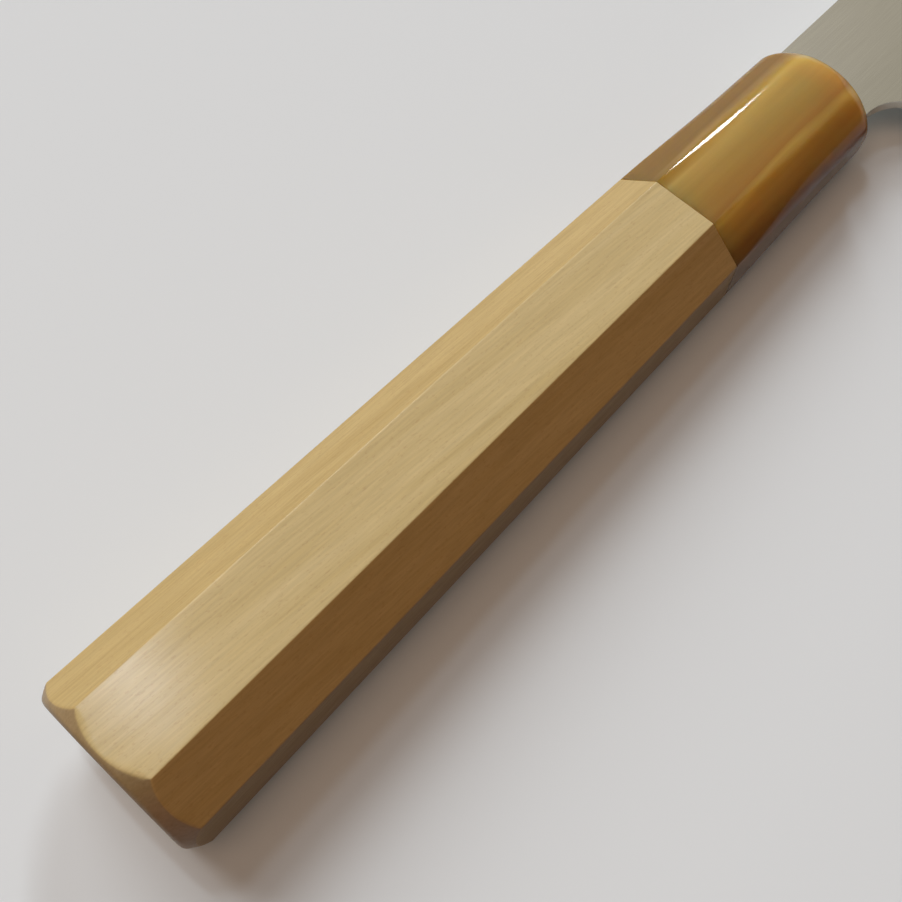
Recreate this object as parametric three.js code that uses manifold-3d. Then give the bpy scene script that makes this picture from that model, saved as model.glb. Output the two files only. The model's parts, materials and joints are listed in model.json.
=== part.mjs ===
// Petty knife with a tapered octagonal handle, lying on its left side with the blade pointing along +X.
// Sizes are millimetres. The spine faces +Y, the cutting edge faces -Y and the right side faces up.
// The pieces are drawn about the handle's axis, with x = 0 at the front face of the ferrule.
import * as THREE from "three";
import { mergeVertices } from "three/addons/utils/BufferGeometryUtils.js";
import Module from "manifold-3d";

// Handle: an eight-sided taper, measured at the ferrule's front face and at the butt.
const FERRULE_LENGTH = 32.4;
const WOOD_LENGTH = 93;
const FRONT_HEIGHT = 17.6;
const FRONT_THICKNESS = 13.9;
const FRONT_SIDE_FLAT = 8.3;
const FRONT_SPINE_FLAT = 6.3;
const BUTT_HEIGHT = 22.4;
const BUTT_THICKNESS = 18.7;
const BUTT_SIDE_FLAT = 10.6;
const BUTT_SPINE_FLAT = 8.4;

// Eased edges: the wood keeps crisp ridges, and the horn's get rounder from the joint up to a length that
// lies behind its domed front. The butt's bevel is cut a little off centre, towards the spine.
const WOOD_RIDGE_RADIUS = 0.35;
const HORN_RIDGE_RADIUS = 3.4;
const HORN_ROUND_LENGTH = 13;
const FRONT_DOME_DEPTH = 5;
const FRONT_FACE_HEIGHT = 12.6;
const BUTT_SIDE_BEVEL = 0.4;
const BUTT_SPINE_BEVEL = 0.55;
const BUTT_BEVEL_SHIFT = 0.4;
const BUTT_BEVEL_DEGREES = 31;
const BUTT_EASE = 0.6;

// Blade, measured from the ferrule's front face to the tip.
const SPINE_OFFSET = 8;
const NECK_HEIGHT = 14.7;
const NECK_LENGTH = 1.2;
const NECK_THICKNESS = 1.8;
const CHOIL_RADIUS = 7.3;
const BLADE_LENGTH = 135;
const HEEL_HEIGHT = 27;
const TIP_DROP = 5;
const TIP_THICKNESS = 0.7;
const SPINE_FALL_LENGTH = 76;
const SPINE_FALL_EASE = 45;
const EDGE_FLAT_REACH = 68;
const TIP_SWEEP_REACH = 28;
const TIP_SWEEP_DEGREES = 40;

// Cross-section of the blade: a flat upper side, a swelling grind and a fine bevel at the edge.
const GRIND_HEIGHT = 17;
const GRIND_SWELL = 0.8;
const BEVEL_HEIGHT = 0.9;
const BEVEL_THICKNESS = 0.36;

// Hidden joinery: a dowel bridges ferrule and wood, and is sawn down the middle for the tang.
const TANG_LENGTH = 70;
const TANG_ROOT_HEIGHT = 8.4;
const TANG_END_HEIGHT = 4.6;
const RESIN_STRIP = 0.8;
const RESIN_END = 2;
const DOWEL_SOLID_END = 5;
const DOWEL_CHAMFER = 0.5;
const FERRULE_FRONT_WALL = 4;
const SEAL_WALL = 1.2;

// Clearances between the pieces.
const SHOULDER_GAP = 0.4;
const TANG_CLEARANCE = 0.15;
const GLUE_LINE = 0.05;

// Fineness of the facets, and how far a cutting shape reaches past what it cuts.
const ARC_STEPS = 4;
const FLAT_STEPS = 4;
const DOME_STEPS = 8;
const EASE_STEPS = 4;
const TAPER_STEPS = 7;
const DOWEL_STEPS = 40;
const BUTT_STEPS = 96;
const CURVE_STEPS = 24;
const GRIND_STEPS = 8;
const DOME_BLEND = 0.02;
const CUT_MARGIN = 2;

// Places along the axis and sizes that follow from the ones above.
const JOINT_DISTANCE = FERRULE_LENGTH + GLUE_LINE;
const HANDLE_LENGTH = JOINT_DISTANCE + WOOD_LENGTH;
const DOWEL_FRONT = FERRULE_FRONT_WALL + GLUE_LINE;
const SLOT_END = TANG_LENGTH + RESIN_END;
const DOWEL_BACK = SLOT_END + DOWEL_SOLID_END;
const DOWEL_RADIUS = TANG_ROOT_HEIGHT / 2 + RESIN_STRIP;
const SLOT_WIDTH = NECK_THICKNESS + 2 * TANG_CLEARANCE;
const MOUTH_HEIGHT = TANG_ROOT_HEIGHT + 2 * SEAL_WALL;
const MOUTH_WIDTH = NECK_THICKNESS + 2 * SEAL_WALL;
const NECK_LOW = SPINE_OFFSET - NECK_HEIGHT;
const NECK_END = SHOULDER_GAP + NECK_LENGTH;
const HEEL = new THREE.Vector2(NECK_END + CHOIL_RADIUS, SPINE_OFFSET - HEEL_HEIGHT);
const TIP = new THREE.Vector2(HEEL.x + BLADE_LENGTH, SPINE_OFFSET - TIP_DROP);

const { clamp, degToRad, lerp, smoothstep } = THREE.MathUtils;
const ALONG_X = new THREE.Vector3(1, 0, 0);
const ALONG_Y = new THREE.Vector3(0, 1, 0);
const ALONG_Z = new THREE.Vector3(0, 0, 1);

const wasm = await Module();
wasm.setup();

// A closed geometry as a solid that can be joined and cut.
function solidOf(geometry) {
  const bare = geometry.clone();
  bare.deleteAttribute("normal");
  bare.deleteAttribute("uv");
  const merged = mergeVertices(bare);
  const triVerts = new Uint32Array(merged.index.array);
  const vertProperties = new Float32Array(merged.attributes.position.array);
  return new wasm.Manifold(new wasm.Mesh({ numProp: 3, vertProperties, triVerts }));
}

// A joined or cut solid as a geometry for a mesh.
function geometryOf(solid) {
  const { vertProperties, triVerts } = solid.getMesh();
  const geometry = new THREE.BufferGeometry();
  geometry.setAttribute("position", new THREE.BufferAttribute(vertProperties, 3));
  geometry.setIndex(new THREE.BufferAttribute(triVerts, 1));
  geometry.computeVertexNormals();
  return geometry;
}

// A closed geometry through rings of (y, z) points with equal counts, set along X in rising order.
function loft(rings) {
  const count = rings[0].points.length;
  const positions = rings.flatMap(({ x, points }) => points.flatMap((p) => [x, p.x, p.y]));
  const faces = [];
  for (let ring = 0; ring < rings.length - 1; ring += 1) {
    for (let i = 0; i < count; i += 1) {
      const here = ring * count + i;
      const next = ring * count + ((i + 1) % count);
      faces.push(here, next, here + count, next, next + count, here + count);
    }
  }
  const last = (rings.length - 1) * count;
  for (const [a, b, c] of THREE.ShapeUtils.triangulateShape(rings[0].points, [])) {
    faces.push(a, c, b);
  }
  for (const [a, b, c] of THREE.ShapeUtils.triangulateShape(rings.at(-1).points, [])) {
    faces.push(last + a, last + b, last + c);
  }
  const geometry = new THREE.BufferGeometry();
  geometry.setAttribute("position", new THREE.Float32BufferAttribute(positions, 3));
  geometry.setIndex(faces);
  return geometry;
}

// A solid of revolution about the handle's axis, from (radius, x) points in rising x.
function turned(profile, steps) {
  return new THREE.LatheGeometry(profile, steps).rotateZ(-Math.PI / 2);
}

// An outline in (y, z), extruded along the handle's axis between two places.
function bar(shape, fromX, toX) {
  const options = { depth: toX - fromX, bevelEnabled: false, curveSegments: CURVE_STEPS };
  const turn = new THREE.Matrix4().makeBasis(ALONG_Y, ALONG_Z, ALONG_X);
  return new THREE.ExtrudeGeometry(shape, options).applyMatrix4(turn).translate(fromX, 0, 0);
}

// An outline in (x, y), extruded to a plate about the blade's middle plane.
function plate(shape, thickness) {
  const options = { depth: thickness, bevelEnabled: false, curveSegments: CURVE_STEPS };
  return new THREE.ExtrudeGeometry(shape, options).translate(0, 0, -thickness / 2);
}

// Half sizes of the handle's octagon at a distance behind the front face.
function octagonSizes(distance) {
  const share = distance / HANDLE_LENGTH;
  return {
    height: lerp(FRONT_HEIGHT, BUTT_HEIGHT, share) / 2,
    thickness: lerp(FRONT_THICKNESS, BUTT_THICKNESS, share) / 2,
    sideFlat: lerp(FRONT_SIDE_FLAT, BUTT_SIDE_FLAT, share) / 2,
    spineFlat: lerp(FRONT_SPINE_FLAT, BUTT_SPINE_FLAT, share) / 2,
  };
}

// The octagon at a distance behind the front face, its corners rounded and its flats cut into equal steps.
function octagon(distance, radius) {
  const { height, thickness, sideFlat, spineFlat } = octagonSizes(distance);
  const corners = [
    new THREE.Vector2(height, -spineFlat),
    new THREE.Vector2(height, spineFlat),
    new THREE.Vector2(sideFlat, thickness),
    new THREE.Vector2(-sideFlat, thickness),
    new THREE.Vector2(-height, spineFlat),
    new THREE.Vector2(-height, -spineFlat),
    new THREE.Vector2(-sideFlat, -thickness),
    new THREE.Vector2(sideFlat, -thickness),
  ];
  const count = corners.length;
  const inward = corners.map((corner, i) => {
    const along = corners[(i + 1) % count].clone().sub(corner).normalize();
    return new THREE.Vector2(-along.y, along.x);
  });
  const arcs = corners.map((corner, i) => {
    const before = inward[(i + count - 1) % count];
    const after = inward[i];
    const reach = radius / (1 + before.dot(after));
    const centre = corner.clone().addScaledVector(before, reach).addScaledVector(after, reach);
    return Array.from({ length: ARC_STEPS + 1 }, (_, step) => {
      const spoke = before.clone().lerp(after, step / ARC_STEPS).normalize();
      return centre.clone().addScaledVector(spoke, -radius);
    });
  });
  return arcs.flatMap((arc, i) => {
    const start = arc.at(-1);
    const end = arcs[(i + 1) % count][0];
    const flat = Array.from({ length: FLAT_STEPS - 1 }, (_, step) =>
      start.clone().lerp(end, (step + 1) / FLAT_STEPS),
    );
    return [...arc, ...flat];
  });
}

// The dowel's round bar, grown by a margin, between two places behind the front face.
function dowelBar(margin, front, back, chamfer) {
  const radius = DOWEL_RADIUS + margin;
  const profile = [
    new THREE.Vector2(0, -back),
    new THREE.Vector2(radius - chamfer, -back),
    new THREE.Vector2(radius, chamfer - back),
    new THREE.Vector2(radius, -chamfer - front),
    new THREE.Vector2(radius - chamfer, -front),
    new THREE.Vector2(0, -front),
  ];
  return solidOf(turned(profile, DOWEL_STEPS));
}

// The sawn slot of the dowel, drawn in by a margin, open at the front and square at its end.
function slotBlock(margin) {
  const length = SLOT_END - margin;
  const block = new THREE.BoxGeometry(length, 2 * DOWEL_RADIUS + CUT_MARGIN, SLOT_WIDTH - 2 * margin);
  return solidOf(block.translate(-length / 2, 0, 0));
}

// Follows the tang round from its upper shoulder to its lower one, grown by a margin.
function traceTang(path, shoulderX, margin) {
  const rootHalf = TANG_ROOT_HEIGHT / 2 + margin;
  const endHalf = TANG_END_HEIGHT / 2 + margin;
  const endCentre = endHalf - margin - TANG_LENGTH;
  path.lineTo(shoulderX, rootHalf);
  path.lineTo(endCentre, endHalf);
  path.absarc(endCentre, 0, endHalf, Math.PI / 2, -Math.PI / 2, false);
  path.lineTo(shoulderX, -rootHalf);
}

// An upright oval with straight sides, as a drilled and filed mouth has.
function mouthOval(margin) {
  const radius = MOUTH_WIDTH / 2 - margin;
  const rise = MOUTH_HEIGHT / 2 - margin - radius;
  const oval = new THREE.Shape();
  oval.absarc(rise, 0, radius, -Math.PI / 2, Math.PI / 2, false);
  oval.absarc(-rise, 0, radius, Math.PI / 2, -Math.PI / 2, false);
  return oval;
}

// Wooden body: the octagon's taper, its butt bevelled by an oval cone and its front bored for the dowel.
function handleBody() {
  const taper = loft([
    { x: -HANDLE_LENGTH, points: octagon(HANDLE_LENGTH, WOOD_RIDGE_RADIUS) },
    { x: -JOINT_DISTANCE, points: octagon(JOINT_DISTANCE, WOOD_RIDGE_RADIUS) },
  ]);
  const faceHeight = BUTT_HEIGHT / 2 - BUTT_SPINE_BEVEL;
  const faceThickness = BUTT_THICKNESS / 2 - BUTT_SIDE_BEVEL;
  const angle = degToRad(BUTT_BEVEL_DEGREES);
  const outward = new THREE.Vector2(Math.sin(angle), Math.cos(angle));
  const faceEdge = new THREE.Vector2(faceThickness, 0);
  const eased = new THREE.QuadraticBezierCurve(
    new THREE.Vector2(faceThickness - BUTT_EASE, 0),
    faceEdge,
    faceEdge.clone().addScaledVector(outward, BUTT_EASE),
  );
  const flareEnd = faceEdge.clone().addScaledVector(outward, (WOOD_LENGTH + CUT_MARGIN) / outward.y);
  const profile = [
    new THREE.Vector2(0, 0),
    ...eased.getPoints(EASE_STEPS),
    flareEnd,
    new THREE.Vector2(0, flareEnd.y),
  ];
  const cone = turned(profile, BUTT_STEPS)
    .scale(1, faceHeight / faceThickness, 1)
    .translate(-HANDLE_LENGTH, BUTT_BEVEL_SHIFT, 0);
  const bore = dowelBar(GLUE_LINE, JOINT_DISTANCE - CUT_MARGIN, DOWEL_BACK + GLUE_LINE, 0);
  return geometryOf(solidOf(taper).intersect(solidOf(cone)).subtract(bore));
}

// How far out a section's point lies, with 1 on the oval that touches the four main flats.
function ovalReach(point, distance) {
  const { height, thickness } = octagonSizes(distance);
  return Math.hypot(point.x / height, point.y / thickness);
}

// The lesser of two values, with the corner between them blended.
function softLesser(a, b) {
  const share = clamp(0.5 + (0.5 * (b - a)) / DOME_BLEND, 0, 1);
  return lerp(b, a, share) - DOME_BLEND * share * (1 - share);
}

// Horn ferrule: the octagon carried on, its ridges softening towards an oval domed front.
function ferrule() {
  const ridgeRadius = (distance) =>
    lerp(HORN_RIDGE_RADIUS, WOOD_RIDGE_RADIUS, smoothstep(distance, HORN_ROUND_LENGTH, FERRULE_LENGTH));
  const section = (distance) => octagon(distance, ridgeRadius(distance));
  const domeBase = section(FRONT_DOME_DEPTH).map((point) => ovalReach(point, FRONT_DOME_DEPTH));
  const fullReach = Math.max(...domeBase) + DOME_BLEND;
  const faceReach = FRONT_FACE_HEIGHT / FRONT_HEIGHT;

  const rings = [];
  for (let step = 0; step < TAPER_STEPS; step += 1) {
    const distance = lerp(FERRULE_LENGTH, FRONT_DOME_DEPTH, step / TAPER_STEPS);
    rings.push({ x: -distance, points: section(distance) });
  }
  for (let step = 0; step <= DOME_STEPS; step += 1) {
    const turn = (Math.PI / 2) * (step / DOME_STEPS);
    const distance = FRONT_DOME_DEPTH * (1 - Math.sin(turn));
    const limit = lerp(faceReach, fullReach, Math.cos(turn));
    const points = section(distance).map((point) => {
      const reach = ovalReach(point, distance);
      return point.multiplyScalar(softLesser(reach, limit) / reach);
    });
    rings.push({ x: -distance, points });
  }
  const bore = dowelBar(GLUE_LINE, FERRULE_FRONT_WALL, FERRULE_LENGTH + CUT_MARGIN, 0);
  const mouth = solidOf(bar(mouthOval(0), -FERRULE_FRONT_WALL - CUT_MARGIN, CUT_MARGIN));
  return geometryOf(solidOf(loft(rings)).subtract(bore).subtract(mouth));
}

// Hardwood dowel, sawn from its front like a clothes-peg.
function dowel() {
  const whole = dowelBar(0, DOWEL_FRONT, DOWEL_BACK, DOWEL_CHAMFER);
  return geometryOf(whole.subtract(slotBlock(0)));
}

// Resin that fills the sawn slot above, below and behind the tang.
function tangBedding() {
  const tang = new THREE.Shape();
  tang.moveTo(CUT_MARGIN, TANG_ROOT_HEIGHT / 2 + TANG_CLEARANCE);
  traceTang(tang, 0, TANG_CLEARANCE);
  tang.lineTo(CUT_MARGIN, -TANG_ROOT_HEIGHT / 2 - TANG_CLEARANCE);
  const filled = slotBlock(GLUE_LINE).intersect(dowelBar(0, DOWEL_FRONT, DOWEL_BACK, DOWEL_CHAMFER));
  return geometryOf(filled.subtract(solidOf(plate(tang, SLOT_WIDTH + CUT_MARGIN))));
}

// Resin plug that closes the ferrule's mouth round the tang.
function mouthSeal() {
  const halfHeight = TANG_ROOT_HEIGHT / 2 + TANG_CLEARANCE;
  const halfWidth = SLOT_WIDTH / 2;
  const opening = new THREE.Path();
  opening.moveTo(-halfHeight, -halfWidth);
  opening.lineTo(-halfHeight, halfWidth);
  opening.lineTo(halfHeight, halfWidth);
  opening.lineTo(halfHeight, -halfWidth);
  const plug = mouthOval(GLUE_LINE);
  plug.holes.push(opening);
  return bar(plug, -FERRULE_FRONT_WALL, 0);
}

// Half the blade's thickness at a height above the edge, for a given half thickness at the spine.
function halfThickness(height, spineHalf) {
  const bevelHalf = BEVEL_THICKNESS / 2;
  const share = clamp((height - BEVEL_HEIGHT) / (GRIND_HEIGHT - BEVEL_HEIGHT), 0, 1);
  return lerp(bevelHalf, spineHalf, share + GRIND_SWELL * share * (1 - share));
}

// The ground steel before its outline is cut: wedge sections hung on the line of the edge.
function groundBar(edge) {
  const grindHeights = Array.from({ length: GRIND_STEPS + 1 }, (_, step) =>
    lerp(BEVEL_HEIGHT, GRIND_HEIGHT, step / GRIND_STEPS),
  );
  const heights = [...grindHeights, Math.max(HEEL_HEIGHT, GRIND_HEIGHT) + CUT_MARGIN];
  const section = (x, edgeY) => {
    const spineHalf = lerp(NECK_THICKNESS, TIP_THICKNESS, clamp(x / TIP.x, 0, 1)) / 2;
    const left = heights.map(
      (height) => new THREE.Vector2(edgeY + height, -halfThickness(height, spineHalf)),
    );
    const right = left.map((point) => new THREE.Vector2(point.x, -point.y)).reverse();
    return { x, points: [new THREE.Vector2(edgeY, 0), ...left, ...right] };
  };
  const overrun = TIP.clone().addScaledVector(edge.getTangent(1), CUT_MARGIN);
  return loft([
    section(-TANG_LENGTH - CUT_MARGIN, HEEL.y),
    section(0, HEEL.y),
    ...edge.getPoints(CURVE_STEPS).map((point) => section(point.x, point.y)),
    section(overrun.x, overrun.y),
  ]);
}

// Blade with its neck and stick tang, cut from the ground bar by one outline.
function blade() {
  const sweep = degToRad(TIP_SWEEP_DEGREES);
  const sweepStart = new THREE.Vector2(Math.cos(sweep), Math.sin(sweep)).multiplyScalar(-TIP_SWEEP_REACH);
  const edge = new THREE.CubicBezierCurve(
    HEEL,
    new THREE.Vector2(HEEL.x + EDGE_FLAT_REACH, HEEL.y),
    TIP.clone().add(sweepStart),
    TIP,
  );
  const fallX = TIP.x - SPINE_FALL_LENGTH;
  const fallEaseX = fallX + SPINE_FALL_EASE;
  const fall = new THREE.Vector2(TIP.x - fallEaseX, -TIP_DROP).normalize();
  const overrun = TIP.clone().addScaledVector(fall, CUT_MARGIN);
  const choilLow = NECK_LOW - CHOIL_RADIUS;
  const floor = Math.min(HEEL.y, choilLow) - CUT_MARGIN;

  const outline = new THREE.Shape();
  outline.moveTo(SHOULDER_GAP, SPINE_OFFSET);
  traceTang(outline, SHOULDER_GAP, 0);
  outline.lineTo(SHOULDER_GAP, NECK_LOW);
  outline.lineTo(NECK_END, NECK_LOW);
  outline.absarc(NECK_END, choilLow, CHOIL_RADIUS, Math.PI / 2, 0, true);
  outline.lineTo(HEEL.x, floor);
  outline.lineTo(overrun.x, floor);
  outline.lineTo(overrun.x, overrun.y);
  outline.lineTo(TIP.x, TIP.y);
  outline.quadraticCurveTo(fallEaseX, SPINE_OFFSET, fallX, SPINE_OFFSET);
  const blank = solidOf(plate(outline, NECK_THICKNESS + CUT_MARGIN));
  return geometryOf(blank.intersect(solidOf(groundBar(edge))));
}

// A named mesh with its own plain finish.
function piece(name, geometry, color, roughness, metalness) {
  const mesh = new THREE.Mesh(geometry, new THREE.MeshStandardMaterial({ color, roughness, metalness }));
  mesh.name = name;
  return mesh;
}

const knife = new THREE.Group();
knife.add(piece("blade", blade(), 0xb4b0a6, 0.35, 1));
knife.add(piece("ferrule", ferrule(), 0xb08d4c, 0.12, 0));
knife.add(piece("handle_body", handleBody(), 0xd2b98c, 0.45, 0));
knife.add(piece("dowel", dowel(), 0xc49a62, 0.6, 0));
knife.add(piece("tang_bedding", tangBedding(), 0xd9cfae, 0.3, 0));
knife.add(piece("mouth_seal", mouthSeal(), 0x8a6a38, 0.4, 0));

// The knife lies on the handle's left side flat, with the origin at the middle of the wood's share of it.
const restPitch = Math.atan2((BUTT_THICKNESS - FRONT_THICKNESS) / 2, HANDLE_LENGTH);
const restDistance = JOINT_DISTANCE + WOOD_LENGTH / 2;
const restPoint = new THREE.Vector3(-restDistance, 0, -octagonSizes(restDistance).thickness);
knife.rotation.y = restPitch;
knife.position.copy(restPoint.applyAxisAngle(ALONG_Y, restPitch).negate());

const part = new THREE.Group();
part.add(knife);

export default part;
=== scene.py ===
"""Petty knife with an octagonal wooden handle, lying on its left side on a pale studio floor."""

import json
import math

import bpy
import numpy as np
from mathutils import Matrix, Vector


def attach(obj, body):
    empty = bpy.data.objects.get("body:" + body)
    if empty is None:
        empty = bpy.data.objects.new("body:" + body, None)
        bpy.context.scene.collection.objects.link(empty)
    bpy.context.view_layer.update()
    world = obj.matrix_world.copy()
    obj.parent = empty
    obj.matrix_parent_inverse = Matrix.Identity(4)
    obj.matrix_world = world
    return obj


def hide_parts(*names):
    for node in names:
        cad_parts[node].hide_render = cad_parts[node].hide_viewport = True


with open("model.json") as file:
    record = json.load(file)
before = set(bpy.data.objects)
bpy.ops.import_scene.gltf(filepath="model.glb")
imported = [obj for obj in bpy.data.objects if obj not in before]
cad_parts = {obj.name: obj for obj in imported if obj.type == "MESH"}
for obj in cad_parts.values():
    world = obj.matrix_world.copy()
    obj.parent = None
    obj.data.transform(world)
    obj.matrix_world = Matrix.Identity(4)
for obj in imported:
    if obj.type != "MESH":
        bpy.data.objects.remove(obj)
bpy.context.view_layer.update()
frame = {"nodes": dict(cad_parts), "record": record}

# Sizes in millimetres, the same as the solids have, about the handle's axis.
# x = 0 is the ferrule's front face, the blade points along +x, the spine faces +y and the right side +z.
MM = 0.001
FERRULE_LENGTH = 32.4
WOOD_LENGTH = 93.0
FRONT_HEIGHT = 17.6
FRONT_THICKNESS = 13.9
FRONT_SIDE_FLAT = 8.3
FRONT_SPINE_FLAT = 6.3
BUTT_HEIGHT = 22.4
BUTT_THICKNESS = 18.7
BUTT_SIDE_FLAT = 10.6
BUTT_SPINE_FLAT = 8.4
WOOD_RIDGE_RADIUS = 0.35
HORN_RIDGE_RADIUS = 3.4
HORN_ROUND_LENGTH = 13.0
FRONT_DOME_DEPTH = 5.0
FRONT_FACE_HEIGHT = 12.6
BUTT_SIDE_BEVEL = 0.4
BUTT_SPINE_BEVEL = 0.55
BUTT_BEVEL_SHIFT = 0.4
BUTT_BEVEL_ANGLE = math.radians(31)
BUTT_EASE = 0.6
SPINE_OFFSET = 8.0
NECK_HEIGHT = 14.7
NECK_LENGTH = 1.2
NECK_THICKNESS = 1.8
CHOIL_RADIUS = 7.3
BLADE_LENGTH = 135.0
HEEL_HEIGHT = 27.0
TIP_DROP = 5.0
TIP_THICKNESS = 0.7
SPINE_FALL_LENGTH = 76.0
SPINE_FALL_EASE = 45.0
EDGE_FLAT_REACH = 68.0
TIP_SWEEP_REACH = 28.0
TIP_SWEEP_ANGLE = math.radians(40)
GRIND_HEIGHT = 17.0
GRIND_SWELL = 0.8
BEVEL_HEIGHT = 0.9
BEVEL_THICKNESS = 0.36
TANG_LENGTH = 70.0
TANG_ROOT_HEIGHT = 8.4
TANG_END_HEIGHT = 4.6
FERRULE_FRONT_WALL = 4.0
MOUTH_HEIGHT = 10.8
MOUTH_WIDTH = 4.2
BORE_RADIUS = 5.05
BORE_BACK = 77.05
SHOULDER_GAP = 0.4
GLUE_LINE = 0.05

# Fine shaping that only shows close up.
JOINT_ARRIS = 0.07
JOINT_SEAM = 0.01
CHOIL_EASE = 0.1
EDGE_LAND = 0.02
EASE_BORDER = 0.02
SHOULDER_FILLET = 0.15
DOME_BLEND = 0.02
BEVEL_BLEND = 0.012

# How finely the meshes are cut.
EASE_RINGS = 8
BEVEL_RING_GAP = 0.09
BEVEL_RINGS_END = 4.4
TAPER_RINGS_START = 4.6
TAPER_RINGS_END = WOOD_LENGTH - 0.4
TAPER_RINGS = 38
FERRULE_RINGS = 24
DOME_RINGS = 32
BUTT_FACE_SHARES = (0.2, 0.5, 0.75, 0.92, 1)
SHARP_ANGLE = math.radians(35)

# Places that follow from the sizes.
JOINT_DISTANCE = FERRULE_LENGTH + GLUE_LINE
HANDLE_LENGTH = JOINT_DISTANCE + WOOD_LENGTH
NECK_LOW = SPINE_OFFSET - NECK_HEIGHT
NECK_END = SHOULDER_GAP + NECK_LENGTH
HEEL = Vector((NECK_END + CHOIL_RADIUS, SPINE_OFFSET - HEEL_HEIGHT))
TIP = Vector((HEEL.x + BLADE_LENGTH, SPINE_OFFSET - TIP_DROP))

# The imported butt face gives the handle's axis in the part's frame.
butt = next(mount for mount in frame["record"]["mounts"] if mount["name"] == "butt_face")
FORWARD = -Vector(butt["axis"])
SPINEWARD = Vector((0, 1, 0))
RIGHTWARD = FORWARD.cross(SPINEWARD)
FRONT_CENTRE = Vector(butt["pos_m"]) + FORWARD * HANDLE_LENGTH * MM
HANDLE_AXES = Matrix((FORWARD, SPINEWARD, RIGHTWARD)).transposed()
TO_PART = Matrix.Translation(FRONT_CENTRE) @ (HANDLE_AXES * MM).to_4x4()


def lerp(a, b, share):
    """The value a share of the way from a to b."""
    return a + (b - a) * share


def smoothstep(value, low, high):
    """0 below low, 1 above high and an eased rise between them."""
    share = min(max((value - low) / (high - low), 0), 1)
    return share * share * (3 - 2 * share)


def soft_lesser(a, b, blend):
    """The lesser of two values, with the corner between them blended."""
    share = min(max(0.5 + 0.5 * (b - a) / blend, 0), 1)
    return lerp(b, a, share) - blend * share * (1 - share)


def lofted(name, rings, ends=None):
    """A mesh object through rings of points in handle millimetres.

    With ends, two apex points close the first and the last ring; without, the last ring joins the first.
    """
    count = len(rings[0])
    points = [point for ring in rings for point in ring]
    faces = []
    spans = len(rings) - 1 if ends else len(rings)
    for ring in range(spans):
        here = ring * count
        there = (ring + 1) % len(rings) * count
        for i in range(count):
            j = (i + 1) % count
            faces.append((here + i, here + j, there + j, there + i))
    if ends:
        first = len(points)
        last = (len(rings) - 1) * count
        points += ends
        for i in range(count):
            j = (i + 1) % count
            faces.append((first, j, i))
            faces.append((first + 1, last + i, last + j))
    mesh = bpy.data.meshes.new(name)
    mesh.from_pydata([TO_PART @ Vector(point) for point in points], [], faces)
    mesh.shade_smooth()
    mesh.set_sharp_from_angle(angle=SHARP_ANGLE)
    made = bpy.data.objects.new(name, mesh)
    bpy.context.scene.collection.objects.link(made)
    return made


# Handle section

ARC_STEPS = 8
FLAT_SHARES = (0.03, 0.1, 0.17, 0.24, 0.31, 0.38, 0.45, 0.55, 0.62, 0.69, 0.76, 0.83, 0.9, 0.97)


def octagon_sizes(distance):
    """Halves of the height, thickness, side flat and spine flat at a distance behind the front face."""
    share = distance / HANDLE_LENGTH
    return (
        lerp(FRONT_HEIGHT, BUTT_HEIGHT, share) / 2,
        lerp(FRONT_THICKNESS, BUTT_THICKNESS, share) / 2,
        lerp(FRONT_SIDE_FLAT, BUTT_SIDE_FLAT, share) / 2,
        lerp(FRONT_SPINE_FLAT, BUTT_SPINE_FLAT, share) / 2,
    )


def octagon(distance, ridge):
    """The section's (y, z) points, its eight corners rounded to the ridge radius."""
    height, thickness, side, spine = octagon_sizes(distance)
    quarter = [(height, spine), (side, thickness)]
    half = quarter + [(-y, z) for y, z in reversed(quarter)]
    corners = [Vector(corner) for corner in half + [(-y, -z) for y, z in half]]
    arcs = []
    for i, corner in enumerate(corners):
        before = (corner - corners[i - 1]).normalized()
        after = (corners[(i + 1) % len(corners)] - corner).normalized()
        spokes = Vector((-before.y, before.x)), Vector((-after.y, after.x))
        centre = corner + (spokes[0] + spokes[1]) * ridge / (1 + spokes[0].dot(spokes[1]))
        arcs.append([
            centre - spokes[0].lerp(spokes[1], step / ARC_STEPS).normalized() * ridge
            for step in range(ARC_STEPS + 1)
        ])
    points = []
    for i, arc in enumerate(arcs):
        end = arcs[(i + 1) % len(arcs)][0]
        points += arc
        points += [arc[-1].lerp(end, share) for share in FLAT_SHARES]
    return points


def ring_at(x, points):
    """A section's (y, z) points as a ring at a place along the axis."""
    return [(x, point[0], point[1]) for point in points]


def circle_like(points, radius):
    """A circle whose points lie at the same angles as those of a section."""
    return [Vector(point).normalized() * radius for point in points]


def mouth_like(points):
    """The ferrule's upright oval mouth, at the same angles as the points of a section."""
    radius = MOUTH_WIDTH / 2
    rise = MOUTH_HEIGHT / 2 - radius
    oval = []
    for point in points:
        ray = Vector(point).normalized()
        across = radius / max(abs(ray.y), 1e-6)
        if across * abs(ray.x) > rise:
            across = rise * abs(ray.x) + math.sqrt(radius**2 - (rise * ray.y) ** 2)
        oval.append(ray * across)
    return oval


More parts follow.
